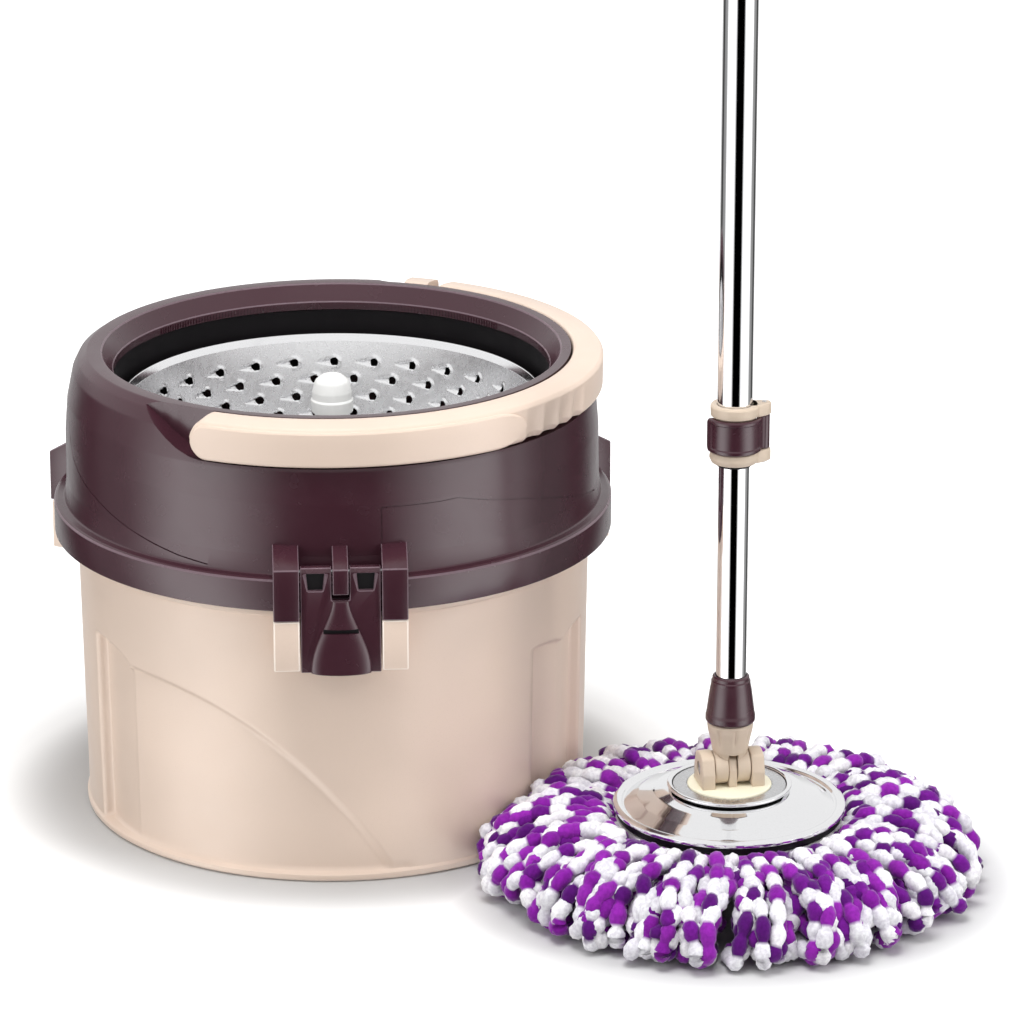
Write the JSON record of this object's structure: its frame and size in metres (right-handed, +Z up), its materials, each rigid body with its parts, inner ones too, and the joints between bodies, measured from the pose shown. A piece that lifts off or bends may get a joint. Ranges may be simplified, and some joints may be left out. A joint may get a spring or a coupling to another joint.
{
  "type": "spin mop",
  "caption": "Spin mop set: a latched round wringing bucket with a perforated steel spin basket and bail handle, and a tilting disc mop on a telescopic twist-drive pole.",
  "frame": {"origin": "centre of the bucket's flat underside, on the floor", "axes": "+Z up; -Y towards the bucket's front latch; +X to the right seen from that latch, where the mop stands"},
  "size_m": [0.5644, 0.489, 0.93],
  "materials": {
    "cream_plastic": "semi-gloss moulded",
    "brown_plastic": "semi-gloss moulded",
    "beige_plastic": "satin moulded",
    "white_plastic": "gloss moulded",
    "black_plastic": "matt moulded",
    "bright_steel": "polished",
    "satin_steel": "satin",
    "yarn": "chenille yarn"
  },
  "bodies": {
    "bucket": {"tub": "cream_plastic", "upper_housing": "brown_plastic", "basket_cradle": "beige_plastic", "spindle": "satin_steel", "spindle_nut": "satin_steel", "cradle_screw_1": "satin_steel", "cradle_screw_2": "satin_steel", "cradle_screw_3": "satin_steel", "latch_pin_front": "satin_steel", "latch_pin_right": "satin_steel", "latch_pin_left": "satin_steel", "bail_pin_front": "brown_plastic", "bail_pin_rear": "brown_plastic"},
    "basket": {"spin_basket": "bright_steel", "hub_post": "white_plastic", "hub_clamp_plate": "satin_steel", "bearing_lower": "satin_steel", "bearing_upper": "satin_steel", "hub_screw_1": "satin_steel", "hub_screw_2": "satin_steel", "hub_screw_3": "satin_steel"},
    "bail": {"bail_handle": "cream_plastic", "grip_insert": "cream_plastic"},
    "front_latch": {"latch_lever_front": "brown_plastic"},
    "right_latch": {"latch_lever_right": "brown_plastic"},
    "left_latch": {"latch_lever_left": "brown_plastic"},
    "mop_head": {"mop_disc": "black_plastic", "disc_cover": "bright_steel", "trim_ring": "satin_steel", "hub_plate": "white_plastic", "yarn_band": "white_plastic", "yarn_ring": "yarn", "disc_screw_1": "satin_steel", "disc_screw_2": "satin_steel", "disc_screw_3": "satin_steel", "pivot_bracket": "beige_plastic", "pivot_pin": "satin_steel", "bracket_screw_1": "satin_steel", "bracket_screw_2": "satin_steel"},
    "pole_lower": {"yoke": "beige_plastic", "ferrule": "brown_plastic", "lower_tube": "bright_steel", "ferrule_screw": "satin_steel"},
    "swivel_bush": {"slide_bush": "white_plastic", "nut_retainer": "white_plastic"},
    "nut": {"drive_nut": "black_plastic"},
    "pole_upper": {"upper_tube": "bright_steel", "twist_rod": "satin_steel", "rod_plug": "black_plastic", "clamp_body": "beige_plastic", "clamp_collet": "black_plastic", "clamp_lever_pin": "satin_steel", "clamp_rivet": "satin_steel", "hand_grip": "brown_plastic", "hanger_cap": "brown_plastic"},
    "clamp": {"clamp_lever": "brown_plastic"}
  },
  "joints": [
    {"name": "basket_spin", "type": "hinge", "parent": "bucket", "child": "basket", "pos_m": [0, 0, 0.2], "axis": [0, 0, 1], "continuous": true},
    {"name": "bail_swing", "type": "hinge", "parent": "bucket", "child": "bail", "pos_m": [0, 0, 0.283], "axis": [-0.515, -0.8572, 0], "range_deg": [0, 95]},
    {"name": "front_latch_open", "type": "hinge", "parent": "bucket", "child": "front_latch", "pos_m": [0, -0.178, 0.2084], "axis": [-1, 0, 0], "range_deg": [0, 90]},
    {"name": "right_latch_open", "type": "hinge", "parent": "bucket", "child": "right_latch", "pos_m": [0.15415, 0.089, 0.2084], "axis": [0.5, -0.866, 0], "range_deg": [0, 90]},
    {"name": "left_latch_open", "type": "hinge", "parent": "bucket", "child": "left_latch", "pos_m": [-0.15415, 0.089, 0.2084], "axis": [0.5, 0.866, 0], "range_deg": [0, 90]},
    {"name": "mop_lift", "type": "slide", "parent": "bucket", "child": "mop_head", "axis": [0.3672, -0.2552, 0.8944], "range_m": [0, 0.35]},
    {"name": "head_tilt", "type": "hinge", "parent": "mop_head", "child": "pole_lower", "pos_m": [0.236, -0.164, 0.0735], "axis": [0.9885, 0.1513, 0], "range_deg": [-80, 80]},
    {"name": "pole_swivel", "type": "hinge", "parent": "pole_lower", "child": "swivel_bush", "pos_m": [0.236, -0.164, 0.63], "axis": [0, 0, 1], "continuous": true},
    {"name": "pole_stroke", "type": "slide", "parent": "swivel_bush", "child": "pole_upper", "axis": [0, 0, 1], "range_m": [-0.12, 0.25]},
    {"name": "nut_spin", "type": "hinge", "parent": "swivel_bush", "child": "nut", "pos_m": [0.236, -0.164, 0.625], "axis": [0, 0, 1], "range_deg": [-433, 901]},
    {"name": "clamp_lever_open", "type": "hinge", "parent": "pole_upper", "child": "clamp", "pos_m": [0.25379, -0.16128, 0.286], "axis": [0, 0, 1], "range_deg": [0, 100]}
  ],
  "couplings": [
    {"joint": "nut_spin", "follows": "pole_stroke", "rad_per_m": 62.832}
  ]
}
